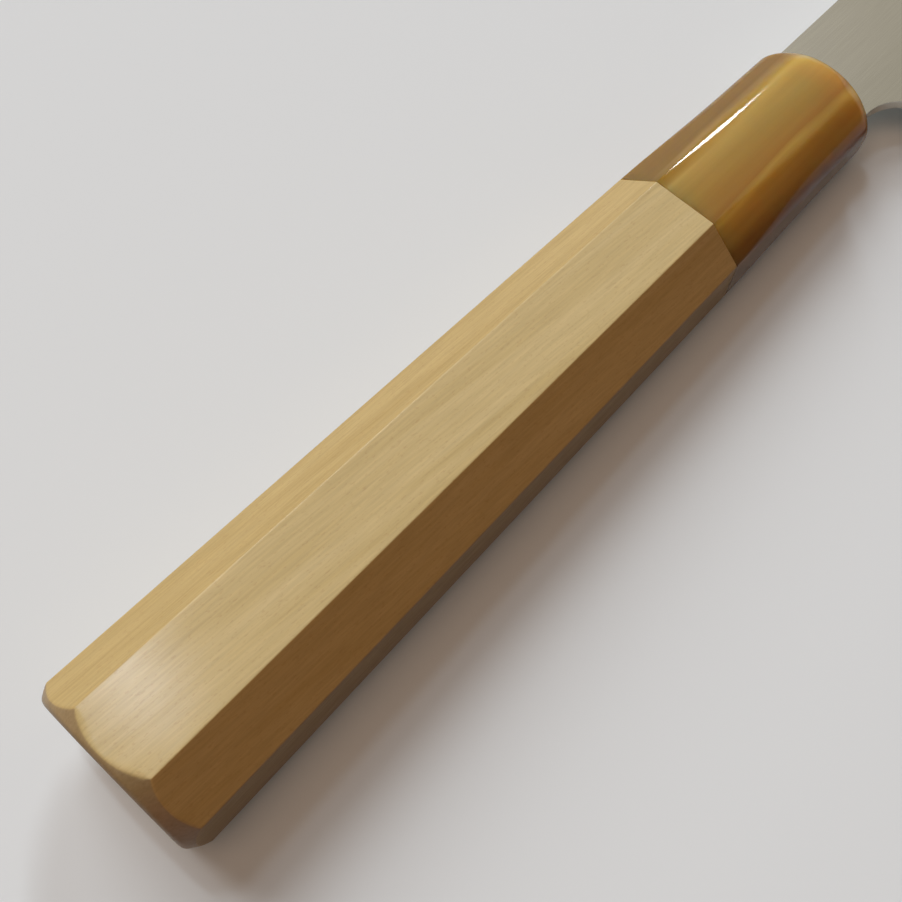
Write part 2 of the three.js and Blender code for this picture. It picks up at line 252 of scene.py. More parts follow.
def wood_handle():
    """Tapered octagon with its oval bevel scalloping the eight flats at the butt, bored for the dowel."""
    centre = Vector((BUTT_BEVEL_SHIFT, 0))
    face_height = BUTT_HEIGHT / 2 - BUTT_SPINE_BEVEL
    face_thickness = BUTT_THICKNESS / 2 - BUTT_SIDE_BEVEL
    ease_depth = BUTT_EASE * math.cos(BUTT_BEVEL_ANGLE)

    def bevel_limit(depth):
        if depth >= ease_depth:
            return 1 + depth * math.tan(BUTT_BEVEL_ANGLE) / face_thickness
        turn = math.sqrt(depth / ease_depth)
        reach = -((1 - turn) ** 2) * BUTT_EASE + turn**2 * BUTT_EASE * math.sin(BUTT_BEVEL_ANGLE)
        return 1 + reach / face_thickness

    def section(depth):
        points = octagon(HANDLE_LENGTH - depth, WOOD_RIDGE_RADIUS)
        limit = bevel_limit(depth)
        cut = []
        for point in points:
            arm = point - centre
            reach = math.hypot(arm.x / face_height, arm.y / face_thickness)
            cut.append(centre + arm * (soft_lesser(reach, limit, BEVEL_BLEND) / reach))
        return cut

    eased = [ease_depth * (step / EASE_RINGS) ** 2 for step in range(1, EASE_RINGS + 1)]
    bevelled = np.arange(ease_depth, BEVEL_RINGS_END, BEVEL_RING_GAP)[1:].tolist()
    tapered = np.linspace(TAPER_RINGS_START, TAPER_RINGS_END, TAPER_RINGS).tolist()
    tapered.append(WOOD_LENGTH + GLUE_LINE - JOINT_SEAM - JOINT_ARRIS)
    face = section(0)
    rings = [ring_at(-HANDLE_LENGTH, [p * share for p in face]) for share in BUTT_FACE_SHARES]
    rings += [ring_at(depth - HANDLE_LENGTH, section(depth)) for depth in eased + bevelled + tapered]
    front = FERRULE_LENGTH + JOINT_SEAM
    joint = octagon(front, WOOD_RIDGE_RADIUS)
    rings.append(ring_at(-front, [p * (1 - JOINT_ARRIS / p.length) for p in joint]))
    bore = circle_like(joint, BORE_RADIUS)
    rings.append(ring_at(-front, bore))
    rings.append(ring_at(-BORE_BACK, bore))
    return lofted("wood_handle", rings, [(-HANDLE_LENGTH, 0, 0), (-BORE_BACK, 0, 0)])


def horn_ferrule():
    """The octagon carried on in horn, its ridges softening towards an oval domed front with a mouth."""

    def section(distance):
        ease = smoothstep(distance, HORN_ROUND_LENGTH, FERRULE_LENGTH)
        return octagon(distance, lerp(HORN_RIDGE_RADIUS, WOOD_RIDGE_RADIUS, ease))

    def reach_of(point, distance):
        height, thickness, _, _ = octagon_sizes(distance)
        return math.hypot(point.x / height, point.y / thickness)

    full = max(reach_of(point, FRONT_DOME_DEPTH) for point in section(FRONT_DOME_DEPTH)) + DOME_BLEND
    flat = FRONT_FACE_HEIGHT / FRONT_HEIGHT
    joint = section(FERRULE_LENGTH)
    rings = []
    for distance in np.linspace(FERRULE_LENGTH, FRONT_DOME_DEPTH, FERRULE_RINGS)[:-1]:
        rings.append(ring_at(-distance, section(distance)))
    for step in range(DOME_RINGS + 1):
        turn = math.pi / 2 * step / DOME_RINGS
        distance = FRONT_DOME_DEPTH * (1 - math.sin(turn))
        limit = lerp(flat, full, math.cos(turn))
        domed = []
        for point in section(distance):
            reach = reach_of(point, distance)
            domed.append(point * (soft_lesser(reach, limit, DOME_BLEND) / reach))
        rings.append(ring_at(-distance, domed))
    mouth = mouth_like(joint)
    bore = circle_like(joint, BORE_RADIUS)
    rings.append(ring_at(0, mouth))
    rings.append(ring_at(-FERRULE_FRONT_WALL, mouth))
    rings.append(ring_at(-FERRULE_FRONT_WALL, bore))
    rings.append(ring_at(-FERRULE_LENGTH, bore))
    return lofted("horn_ferrule", rings)


# Blade

EDGE_STEPS = 110
# Sections crowd towards the tip by this power.
EDGE_CROWDING = 1.3
CHOIL_STEPS = 30
WALL_STEPS = 12
BEVEL_STEPS = 5
FACE_STEPS = 34
TANG_STEPS = 12
TANG_END_STEPS = 7
LINE_POINTS = 400
HALVINGS = 40
# The most that the edge bevel takes of the blade's height, and an eased corner of its half thickness.
MOST_BEVEL_SHARE = 0.3
MOST_EASE_SHARE = 0.8
# Where the section line that rises from the heel meets the spine.
HEEL_SPINE_X = 17.0


def bezier(points, turn):
    """A point on the Bezier curve through its control points."""
    while len(points) > 1:
        points = [a.lerp(b, turn) for a, b in zip(points, points[1:])]
    return points[0]


EDGE_CURVE = [
    HEEL,
    HEEL + Vector((EDGE_FLAT_REACH, 0)),
    TIP - Vector((math.cos(TIP_SWEEP_ANGLE), math.sin(TIP_SWEEP_ANGLE))) * TIP_SWEEP_REACH,
    TIP,
]
SPINE_FALL = [
    Vector((TIP.x - SPINE_FALL_LENGTH, SPINE_OFFSET)),
    Vector((TIP.x - SPINE_FALL_LENGTH + SPINE_FALL_EASE, SPINE_OFFSET)),
    TIP,
]
edge_line = np.array([bezier(EDGE_CURVE, turn) for turn in np.linspace(0, 1, LINE_POINTS)])
spine_line = np.array([bezier(SPINE_FALL, turn) for turn in np.linspace(0, 1, LINE_POINTS)])


def height_at(point):
    """Height of a point of the blade's side view above the cutting edge."""
    return point.y - np.interp(point.x, edge_line[:, 0], edge_line[:, 1])


def half_thickness(point):
    """Half the blade's thickness at a point of its side view: edge bevel, swelling grind, flat side."""
    height = max(height_at(point), 0)
    spine_half = lerp(NECK_THICKNESS, TIP_THICKNESS, min(max(point.x / TIP.x, 0), 1)) / 2
    if height < BEVEL_HEIGHT:
        return lerp(EDGE_LAND, BEVEL_THICKNESS, height / BEVEL_HEIGHT) / 2
    share = min((height - BEVEL_HEIGHT) / (GRIND_HEIGHT - BEVEL_HEIGHT), 1)
    return lerp(BEVEL_THICKNESS / 2, spine_half, share + GRIND_SWELL * share * (1 - share))


def blade_ring(low, high, sharp):
    """The blade's section along the line from a low to a high point of its side view.

    A sharp low end runs down the edge bevel; a blunt one has its corners eased. The spine's stay crisp.
    """
    line = high - low
    length = line.length
    along = line / length
    side = []
    if sharp:
        rise = min(BEVEL_HEIGHT, MOST_BEVEL_SHARE * height_at(high))
        for step in range(BEVEL_STEPS + 1):
            lower, upper = 0.0, length
            for _ in range(HALVINGS):
                middle = (lower + upper) / 2
                if height_at(low + along * middle) < rise * step / BEVEL_STEPS:
                    lower = middle
                else:
                    upper = middle
            side.append((upper if step else 0.0, 0.0))
    else:
        ease = min(CHOIL_EASE, MOST_EASE_SHARE * half_thickness(low))
        for step in range(BEVEL_STEPS + 1):
            turn = math.pi / 2 * step / BEVEL_STEPS
            side.append((ease * (1 - math.cos(turn)), ease * (1 - math.sin(turn))))
    start = side[-1][0] + EASE_BORDER
    side += [(lerp(start, length, step / FACE_STEPS), 0.0) for step in range(FACE_STEPS + 1)]
    left = []
    for offset, inset in side:
        place = low + along * offset
        left.append((place.x, place.y, inset - half_thickness(place)))
    return left + [(x, y, -z) for x, y, z in reversed(left)]


def steel_blade():
    """Stick tang, neck, choil and heel, then the ground blade drawn to its tip."""
    lines = []
    end_half = TANG_END_HEIGHT / 2
    for share in np.linspace(0, 1, TANG_END_STEPS)[1:]:
        turn = math.pi / 2 * share
        x = -TANG_LENGTH + end_half * (1 - math.cos(turn))
        half = end_half * math.sin(turn)
        lines.append((Vector((x, -half)), Vector((x, half)), False))
    root = SHOULDER_GAP - SHOULDER_FILLET
    for x in np.linspace(-TANG_LENGTH + end_half, root, TANG_STEPS)[1:]:
        share = (x + TANG_LENGTH - end_half) / (root + TANG_LENGTH - end_half)
        half = lerp(end_half, TANG_ROOT_HEIGHT / 2, share)
        lines.append((Vector((x, -half)), Vector((x, half)), False))

    blunt = [Vector((SHOULDER_GAP, NECK_LOW)), Vector((NECK_END, NECK_LOW))]
    choil_centre = Vector((NECK_END, NECK_LOW - CHOIL_RADIUS))
    for step in range(1, CHOIL_STEPS + 1):
        turn = math.pi / 2 * (1 - step / CHOIL_STEPS)
        blunt.append(choil_centre + CHOIL_RADIUS * Vector((math.cos(turn), math.sin(turn))))
    choil_end = blunt[-1]
    blunt += [choil_end.lerp(HEEL, step / WALL_STEPS) for step in range(1, WALL_STEPS)]
    walked = np.cumsum([0] + [(b - a).length for a, b in zip(blunt, blunt[1:] + [HEEL])])
    for place, distance in zip(blunt, walked):
        x = lerp(SHOULDER_GAP, HEEL_SPINE_X, distance / walked[-1])
        lines.append((place, Vector((x, SPINE_OFFSET)), False))
    for turn in np.linspace(0, 1, EDGE_STEPS)[:-1]:
        place = bezier(EDGE_CURVE, 1 - (1 - turn) ** EDGE_CROWDING)
        share = (place.x - HEEL.x) / BLADE_LENGTH
        x = place.x + (HEEL_SPINE_X - HEEL.x) * (1 - share) ** 2
        y = np.interp(x, spine_line[:, 0], spine_line[:, 1])
        lines.append((place, Vector((x, y)), True))
    rings = [blade_ring(*line) for line in lines]
    made = lofted("steel_blade", rings, [(-TANG_LENGTH, 0, 0), (TIP.x, TIP.y, 0)])
    heights = [height_at(Vector(point[:2])) for ring in rings for point in ring] + [HEEL_HEIGHT, 0.0]
    store = made.data.attributes.new("edge_height", "FLOAT", "POINT")
    store.data.foreach_set("value", np.array(heights, np.float32))
    return made


# Materials

def linear(code):
    """An sRGB hex colour as a linear RGBA value."""
    parts = [int(code[i : i + 2], 16) / 255 for i in (1, 3, 5)]
    return (*[p / 12.92 if p <= 0.04045 else ((p + 0.055) / 1.055) ** 2.4 for p in parts], 1)


def add(tree, kind, sockets, **settings):
    """Adds a node to a tree, with its settings, its values and the links from other nodes' outputs."""
    made = tree.nodes.new(kind)
    for name, value in settings.items():
        setattr(made, name, value)
    for name, value in sockets.items():
        if isinstance(value, bpy.types.NodeSocket):
            tree.links.new(value, made.inputs[name])
        else:
            made.inputs[name].default_value = value
    return made


def blank_material(name):
    """A new material with an empty node tree."""
    made = bpy.data.materials.new(name)
    made.use_nodes = True
    made.node_tree.nodes.clear()
    return made


def grain(along, across, through):
    """Size in metres of a pattern with the given millimetres along x, y and z."""
    return (along * MM, across * MM, through * MM)


# Nearly all values of a noise lie in this span.
NOISE_SPAN = {"From Min": 0.3, "From Max": 0.7}

# The wood's grain leans a little towards the edge side on its way to the tip.
GRAIN_LEAN = (0, -math.asin(FORWARD.z), math.radians(-3.5))


def magnolia(name):
    """Magnolia wood, planed, sanded fine and rubbed with a thin satin finish.

    The eye gets a pale straw wood with faint long growth streaks, fine fibres, scattered short flecks
    and a soft sheen. Painted shade makes the chamfers and the top and bottom flats darker, and the edge
    side darker and redder. The end grain is drawn darker and greyer, partly as a painted sheen.
    """
    made = blank_material(name)
    tree = made.node_tree
    coordinates = add(tree, "ShaderNodeTexCoord", {})
    place = coordinates.outputs["Object"]
    outward = coordinates.outputs["Normal"]

    # Growth streaks a millimetre or two wide that run the length of the handle, bent by slow waves.
    bend_place = add(
        tree,
        "ShaderNodeMapping",
        {"Vector": place, "Rotation": GRAIN_LEAN, "Scale": grain(90, 14, 14)},
        vector_type="TEXTURE",
    )
    bend = add(
        tree,
        "ShaderNodeTexNoise",
        {"Vector": bend_place.outputs[0], "Scale": 1.0, "Detail": 1.0},
    )
    streak_place = add(
        tree,
        "ShaderNodeMapping",
        {"Vector": place, "Rotation": GRAIN_LEAN, "Scale": grain(120, 2.4, 2.4)},
        vector_type="TEXTURE",
    )
    bent = add(
        tree,
        "ShaderNodeVectorMath",
        {0: bend.outputs["Color"], 1: (0.3, 2.2, 2.2), 2: streak_place.outputs[0]},
        operation="MULTIPLY_ADD",
    )
    streaks = add(
        tree,
        "ShaderNodeTexNoise",
        {"Vector": bent.outputs[0], "Scale": 1.0, "Detail": 3.0, "Roughness": 0.6},
    )

    # Fibres, drawn a quarter of a millimetre wide, coarser than real ones, so that they show.
    fibre_place = add(
        tree,
        "ShaderNodeMapping",
        {"Vector": place, "Rotation": GRAIN_LEAN, "Scale": grain(6, 0.26, 0.26)},
        vector_type="TEXTURE",
    )
    fibres = add(
        tree,
        "ShaderNodeTexNoise",
        {"Vector": fibre_place.outputs[0], "Scale": 1.0, "Detail": 2.0},
    )

    # Ray flecks: half a millimetre long, thin across the side flats and taller on the quartered ones.
    fleck_place = add(
        tree,
        "ShaderNodeMapping",
        {"Vector": place, "Rotation": GRAIN_LEAN, "Scale": grain(0.6, 0.22, 0.35)},
        vector_type="TEXTURE",
    )
    flecks = add(
        tree,
        "ShaderNodeTexNoise",
        {"Vector": fleck_place.outputs[0], "Scale": 1.0, "Detail": 1.0},
    )
    fleck = add(
        tree,
        "ShaderNodeMapRange",
        {"Value": flecks.outputs["Fac"], "From Min": 0.6, "From Max": 0.72},
        interpolation_type="SMOOTHSTEP",
    )

    tone = add(
        tree,
        "ShaderNodeMapRange",
        {"Value": streaks.outputs["Fac"], "From Min": 0.32, "From Max": 0.68},
    )
    body = add(
        tree,
        "ShaderNodeMix",
        {0: tone.outputs[0], 6: linear("#b6a26b"), 7: linear("#c2b07d")},
        data_type="RGBA",
    )
    thread = add(
        tree,
        "ShaderNodeMapRange",
        {"Value": fibres.outputs["Fac"], **NOISE_SPAN, "To Min": 0.92, "To Max": 1.07},
    )
    threaded = add(
        tree,
        "ShaderNodeVectorMath",
        {0: body.outputs[2], "Scale": thread.outputs[0]},
        operation="SCALE",
    )
    fleck_share = add(tree, "ShaderNodeMath", {0: fleck.outputs[0], 1: 0.19}, operation="MULTIPLY")
    colour = add(
        tree,
        "ShaderNodeMix",
        {0: fleck_share.outputs[0], 6: threaded.outputs[0], 7: linear("#9a7444")},
        data_type="RGBA",
    )
    # Painted shade: the chamfers and the top and bottom flats are drawn darker and redder than the side
    # flats.
    facing = add(tree, "ShaderNodeSeparateXYZ", {0: outward})
    upright = add(tree, "ShaderNodeMath", {0: facing.outputs["Z"]}, operation="ABSOLUTE")
    side_flat_share = add(
        tree,
        "ShaderNodeMapRange",
        {"Value": upright.outputs[0], "From Min": 0.8, "From Max": 0.98},
    )
    cut = add(
        tree,
        "ShaderNodeMix",
        {0: side_flat_share.outputs[0], 6: linear("#f4ebda"), 7: linear("#ffffff")},
        data_type="RGBA",
    )
    # Painted shade: the flats that face the edge side are drawn darker and redder.
    edge_side_shade_mask = add(
        tree,
        "ShaderNodeMapRange",
        {"Value": facing.outputs["Y"], "From Min": -0.25, "From Max": -0.6},
        interpolation_type="SMOOTHSTEP",
    )
    painted_edge_shade = add(
        tree,
        "ShaderNodeMix",
        {0: edge_side_shade_mask.outputs[0], 6: cut.outputs[2], 7: linear("#ecd0b2")},
        data_type="RGBA",
    )
    reddened = add(
        tree,
        "ShaderNodeVectorMath",
        {0: colour.outputs[2], 1: painted_edge_shade.outputs[2]},
        operation="MULTIPLY",
    )
    # The end grain at the butt is drawn darker and greyer, partly as its own duller tone and partly as a
    # painted grey sheen.
    end_grain = add(
        tree,
        "ShaderNodeMapRange",
        {"Value": facing.outputs["X"], "From Min": -0.3, "From Max": -0.5},
        interpolation_type="SMOOTHSTEP",
    )
    end_grain_tone_and_sheen = add(
        tree,
        "ShaderNodeMix",
        {0: end_grain.outputs[0], 6: linear("#ffffff"), 7: linear("#dcdaf0")},
        data_type="RGBA",
    )
    shaded = add(
        tree,
        "ShaderNodeVectorMath",
        {0: reddened.outputs[0], 1: end_grain_tone_and_sheen.outputs[2]},
        operation="MULTIPLY",
    )
    gloss = add(
        tree,
        "ShaderNodeMapRange",
        {"Value": fibres.outputs["Fac"], **NOISE_SPAN, "To Min": 0.55, "To Max": 0.45},
    )
    raised = add(
        tree,
        "ShaderNodeMath",
        {0: fleck.outputs[0], 1: -0.6, 2: fibres.outputs["Fac"]},
        operation="MULTIPLY_ADD",
    )
    bump = add(
        tree,
        "ShaderNodeBump",
        {"Strength": 0.3, "Distance": 0.02 * MM, "Height": raised.outputs[0]},
    )
    # The thin finish sinks into the pores, which breaks its sheen into specks 0.15 to 0.2 mm across.
    speck_place = add(
        tree,
        "ShaderNodeMapping",
        {"Vector": place, "Rotation": GRAIN_LEAN, "Scale": grain(0.2, 0.15, 0.15)},
        vector_type="TEXTURE",
    )
    specks = add(
        tree,
        "ShaderNodeTexNoise",
        {"Vector": speck_place.outputs[0], "Scale": 1.0, "Detail": 1.0},
    )
    film = add(
        tree,
        "ShaderNodeBump",
        {"Strength": 1.0, "Distance": 0.007 * MM, "Height": specks.outputs["Fac"]},
    )
    surface = add(
        tree,
        "ShaderNodeBsdfPrincipled",
        {
            "Base Color": shaded.outputs[0],
            "Roughness": gloss.outputs[0],
            "IOR": 1.5,
            "Specular IOR Level": 0.3,
            "Coat Weight": 0.24,
            "Coat Roughness": 0.12,
            "Normal": bump.outputs[0],
            "Coat Normal": film.outputs[0],
        },
    )
    add(tree, "ShaderNodeOutputMaterial", {"Surface": surface.outputs[0]})
    return made


# How far from the handle's axis, towards edge and spine, the horn's colour bands lie, and how far they
# wander.
HORN_REACH = 10 * MM
HORN_WANDER = 5 * MM
# Places across that reach, from the edge to the spine, and the colours there: brown, light amber, amber,
# olive gold beside the spine chamfer, and brown again. They are partly the horn's own colour and partly
# painted light: the light amber bands on the shaded edge-side chamfer stand in for light glowing through
# the horn.
HORN_EDGE = (0.2, "#8e5f24")
HORN_SPINE = (0.88, "#7d5d0f")
HORN_BANDS = (
    (0.26, "#aa7a32"),
    (0.32, "#ba8e40"),
    (0.37, "#c29a4a"),
    (0.42, "#9c6f31"),
    (0.6, "#a98340"),
    (0.79, "#b79b57"),
)


def buffed_horn(name):
    """Blond buffalo horn, filed flush with the wood and buffed.

    The eye gets a glossy honey and olive body that light enters, with soft streaks along its growth.
    """
    made = blank_material(name)
    tree = made.node_tree
    place = add(tree, "ShaderNodeTexCoord", {}).outputs["Object"]
    # Bands a few millimetres wide where the colour wanders, and streaks under a millimetre wide.
    band_place = add(
        tree,
        "ShaderNodeMapping",
        {"Vector": place, "Scale": grain(50, 5, 5)},
        vector_type="TEXTURE",
    )
    bands = add(
        tree,
        "ShaderNodeTexNoise",
        {"Vector": band_place.outputs[0], "Scale": 1.0, "Detail": 2.0},
    )
    streak_place = add(
        tree,
        "ShaderNodeMapping",
        {"Vector": place, "Scale": grain(25, 0.9, 0.9)},
        vector_type="TEXTURE",
    )
    streaks = add(
        tree,
        "ShaderNodeTexNoise",
        {"Vector": streak_place.outputs[0], "Scale": 1.0, "Detail": 3.0},
    )
    split = add(tree, "ShaderNodeSeparateXYZ", {0: place})
    side = add(
        tree,
        "ShaderNodeMath",
        {0: bands.outputs["Fac"], 1: HORN_WANDER, 2: split.outputs["Y"]},
        operation="MULTIPLY_ADD",
    )
    across = add(
        tree,
        "ShaderNodeMapRange",
        {"Value": side.outputs[0], "From Min": -HORN_REACH, "From Max": HORN_REACH},
    )
    body = add(tree, "ShaderNodeValToRGB", {0: across.outputs[0]})
    stops = body.color_ramp.elements
    for stop, (position, tint) in zip(stops, (HORN_EDGE, HORN_SPINE)):
        stop.position = position
        stop.color = linear(tint)
    for position, tint in HORN_BANDS:
        stops.new(position).color = linear(tint)
    shade = add(
        tree,
        "ShaderNodeMapRange",
        {"Value": streaks.outputs["Fac"], **NOISE_SPAN, "To Min": 0.95, "To Max": 1.05},
    )
    colour = add(
        tree,
        "ShaderNodeVectorMath",
        {0: body.outputs[0], "Scale": shade.outputs[0]},
        operation="SCALE",
    )
    gloss = add(
        tree,
        "ShaderNodeMapRange",
        {"Value": streaks.outputs["Fac"], **NOISE_SPAN, "To Min": 0.035, "To Max": 0.055},
    )
    wave_place = add(
        tree,
        "ShaderNodeMapping",
        {"Vector": place, "Scale": grain(9, 5, 5)},
        vector_type="TEXTURE",
    )
    wave = add(
        tree,
        "ShaderNodeTexNoise",
        {"Vector": wave_place.outputs[0], "Scale": 1.0, "Detail": 1.0},
    )
    bump = add(
        tree,
        "ShaderNodeBump",
        {"Strength": 0.4, "Distance": 0.05 * MM, "Height": wave.outputs["Fac"]},
    )
    surface = add(
        tree,
        "ShaderNodeBsdfPrincipled",
        {
            "Base Color": colour.outputs[0],
            "Roughness": gloss.outputs[0],
            "IOR": 1.54,
            "Specular IOR Level": 0.22,
            "Subsurface Weight": 1.0,
            "Subsurface Radius": (1.0, 0.6, 0.3),
            "Subsurface Scale": 18 * MM,
            "Normal": bump.outputs[0],
        },
    )
    add(tree, "ShaderNodeOutputMaterial", {"Surface": surface.outputs[0]})
    return made


def satin_steel(name):
    """Stainless steel, ground thin and rubbed along its length to a satin finish, with a stoned edge.

    The eye gets a warm grey sheen drawn out by fine long scratches, hazier on the grind and bright
    along the edge.
    """
    made = blank_material(name)
    tree = made.node_tree
    place = add(tree, "ShaderNodeTexCoord", {}).outputs["Object"]
    # Scratches, drawn at 0.15 mm, coarser than the abrasive's own, so that they show.
    scratch_place = add(
        tree,
        "ShaderNodeMapping",
        {"Vector": place, "Scale": grain(24, 0.15, 0.15)},
        vector_type="TEXTURE",
    )
    scratches = add(
        tree,
        "ShaderNodeTexNoise",
        {"Vector": scratch_place.outputs[0], "Scale": 1.0, "Detail": 3.0},
    )
    cloud_place = add(
        tree,
        "ShaderNodeMapping",
        {"Vector": place, "Scale": grain(18, 9, 9)},
        vector_type="TEXTURE",
    )
    clouds = add(
        tree,
        "ShaderNodeTexNoise",
        {"Vector": cloud_place.outputs[0], "Scale": 1.0, "Detail": 2.0},
    )
    height = add(tree, "ShaderNodeAttribute", {}, attribute_name="edge_height")
    ground = add(
        tree,
        "ShaderNodeMapRange",
        {"Value": height.outputs["Fac"], "From Min": GRIND_HEIGHT - 5, "From Max": GRIND_HEIGHT + 3},
        interpolation_type="SMOOTHSTEP",
    )
    stoned = add(
        tree,
        "ShaderNodeMapRange",
        {"Value": height.outputs["Fac"], "From Min": BEVEL_HEIGHT - 0.1, "From Max": BEVEL_HEIGHT + 0.1},
        interpolation_type="SMOOTHSTEP",
    )
    body = add(
        tree,
        "ShaderNodeMix",
        {0: ground.outputs[0], 6: linear("#c4c0b6"), 7: linear("#cac6bd")},
        data_type="RGBA",
    )
    tint = add(
        tree,
        "ShaderNodeMapRange",
        {"Value": scratches.outputs["Fac"], **NOISE_SPAN, "To Min": 0.96, "To Max": 1.03},
    )
    scratched = add(
        tree,
        "ShaderNodeVectorMath",
        {0: body.outputs[2], "Scale": tint.outputs[0]},
        operation="SCALE",
    )
    colour = add(
        tree,
        "ShaderNodeMix",
        {0: stoned.outputs[0], 6: linear("#d2d0ca"), 7: scratched.outputs[0]},
        data_type="RGBA",
    )
    haze = add(
        tree,
        "ShaderNodeMapRange",
        {"Value": ground.outputs[0], "To Min": 0.18, "To Max": 0.14},
    )
    gloss = add(
        tree,
        "ShaderNodeMath",
        {0: clouds.outputs["Fac"], 1: 0.05, 2: haze.outputs[0]},
        operation="MULTIPLY_ADD",
    )
    bump = add(
        tree,
        "ShaderNodeBump",
        {"Strength": 0.2, "Distance": 0.01 * MM, "Height": scratches.outputs["Fac"]},
    )
    surface = add(
        tree,
        "ShaderNodeBsdfPrincipled",
        {
            "Base Color": colour.outputs[2],
            "Metallic": 1.0,
            "Roughness": gloss.outputs[0],
            "Normal": bump.outputs[0],
        },
    )
    add(tree, "ShaderNodeOutputMaterial", {"Surface": surface.outputs[0]})
    return made


def turned_beech(name):
    """Beech dowel, turned and left bare inside the glue.

    The eye gets a dry pinkish tan with close dark flecks along the grain.
    """
    made = blank_material(name)
    tree = made.node_tree
    place = add(tree, "ShaderNodeTexCoord", {}).outputs["Object"]
    fleck_place = add(
        tree,
        "ShaderNodeMapping",
        {"Vector": place, "Scale": grain(2, 0.3, 0.3)},
        vector_type="TEXTURE",
    )
    flecks = add(
        tree,
        "ShaderNodeTexNoise",
        {"Vector": fleck_place.outputs[0], "Scale": 1.0, "Detail": 2.0},
    )
    share = add(
        tree,
        "ShaderNodeMapRange",
        {"Value": flecks.outputs["Fac"], "From Min": 0.4, "From Max": 0.7},
    )
    colour = add(
        tree,
        "ShaderNodeMix",
        {0: share.outputs[0], 6: linear("#c79b6b"), 7: linear("#9c6d43")},
        data_type="RGBA",
    )
    bump = add(
        tree,
        "ShaderNodeBump",
        {"Strength": 0.5, "Distance": 0.03 * MM, "Height": flecks.outputs["Fac"]},
    )
    surface = add(
        tree,
        "ShaderNodeBsdfPrincipled",
        {"Base Color": colour.outputs[2], "Roughness": 0.65, "IOR": 1.5, "Normal": bump.outputs[0]},
    )
    add(tree, "ShaderNodeOutputMaterial", {"Surface": surface.outputs[0]})
    return made


def cured_resin(name, clear, cloudy):
    """Epoxy resin, poured and cured.

    The eye gets a smooth translucent filling with faint clouds where it was stirred.
    """
    made = blank_material(name)
    tree = made.node_tree
    place = add(tree, "ShaderNodeTexCoord", {}).outputs["Object"]
    cloud_place = add(
        tree,
        "ShaderNodeMapping",
        {"Vector": place, "Scale": grain(3, 1.5, 1.5)},
        vector_type="TEXTURE",
    )
    clouds = add(
        tree,
        "ShaderNodeTexNoise",
        {"Vector": cloud_place.outputs[0], "Scale": 1.0, "Detail": 2.0},
    )
    colour = add(
        tree,
        "ShaderNodeMix",
        {0: clouds.outputs["Fac"], 6: linear(clear), 7: linear(cloudy)},
        data_type="RGBA",
    )
    gloss = add(
        tree,
        "ShaderNodeMapRange",
        {"Value": clouds.outputs["Fac"], "To Min": 0.2, "To Max": 0.4},
    )
    surface = add(
        tree,
        "ShaderNodeBsdfPrincipled",
        {
            "Base Color": colour.outputs[2],
            "Roughness": gloss.outputs[0],
            "IOR": 1.55,
            "Subsurface Weight": 0.3,
            "Subsurface Radius": (1.0, 0.7, 0.4),
            "Subsurface Scale": 1 * MM,
        },
    )
    add(tree, "ShaderNodeOutputMaterial", {"Surface": surface.outputs[0]})
    return made


# The knife

PIECES = [
    (wood_handle(), "handle_body", "handle_wood", magnolia("magnolia_sanded_satin")),
    (horn_ferrule(), "ferrule", "ferrule_horn", buffed_horn("buffalo_horn_buffed")),
    (steel_blade(), "blade", "blade_steel", satin_steel("stainless_steel_satin")),
]
for piece, node, slot, material in PIECES:
    piece.data.materials.append(material)
    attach(piece, "root")
    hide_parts(node)

HIDDEN = {
    "dowel": turned_beech("beech_turned"),
    "tang_bedding": cured_resin("epoxy_resin_cured", "#dccfa8", "#cdbb8c"),
    "mouth_seal": cured_resin("horn_filled_resin_cured", "#8a6632", "#6f4d22"),
}
for node, material in HIDDEN.items():
    frame["nodes"][node].data.materials.clear()
    frame["nodes"][node].data.materials.append(material)


# Studio

FLOOR_RADIUS = 1.7
FLOOR_STEPS = 64
FLOOR_GLOW = 0.06


def seen_rays(tree):
    """1 for rays from the camera, a mirror or glass, which see the pale studio, and 0 for other light."""
    path = add(tree, "ShaderNodeLightPath", {})
    mirrored = add(
        tree,
        "ShaderNodeMath",
        {0: path.outputs["Is Glossy Ray"], 1: path.outputs["Is Transmission Ray"]},
        operation="MAXIMUM",
    )
    seen = add(
        tree,
        "ShaderNodeMath",
        {0: path.outputs["Is Camera Ray"], 1: mirrored.outputs[0]},
        operation="MAXIMUM",
    )
    return seen.outputs[0]


def paper_floor():
    """A wide round sheet of pale paper under the knife."""
    rim = []
    for step in range(FLOOR_STEPS):
        turn = 2 * math.pi * step / FLOOR_STEPS
        rim.append((FLOOR_RADIUS * math.cos(turn), FLOOR_RADIUS * math.sin(turn), 0))
    mesh = bpy.data.meshes.new("floor")
    mesh.from_pydata(rim, [], [range(FLOOR_STEPS)])
    made = bpy.data.objects.new("floor", mesh)
    bpy.context.scene.collection.objects.link(made)
    mesh.materials.append(blank_material("paper_matt"))
    tree = mesh.materials[0].node_tree
    seen = seen_rays(tree)
    # The paper looks pale, and throws little light back up, so that the knife's lower flats stay in shade.
    colour = add(
        tree,
        "ShaderNodeMix",
        {0: seen, 6: linear("#4a382a"), 7: linear("#d4dcde")},
        data_type="RGBA",
    )
    sheet = add(tree, "ShaderNodeBsdfDiffuse", {"Color": colour.outputs[2]})
    glow = add(tree, "ShaderNodeMath", {0: seen, 1: FLOOR_GLOW}, operation="MULTIPLY")
    lifted = add(tree, "ShaderNodeEmission", {"Color": linear("#d8d6d1"), "Strength": glow.outputs[0]})
    surface = add(tree, "ShaderNodeAddShader", {0: sheet.outputs[0], 1: lifted.outputs[0]})
    add(tree, "ShaderNodeOutputMaterial", {"Surface": surface.outputs[0]})
    return made


paper_floor()


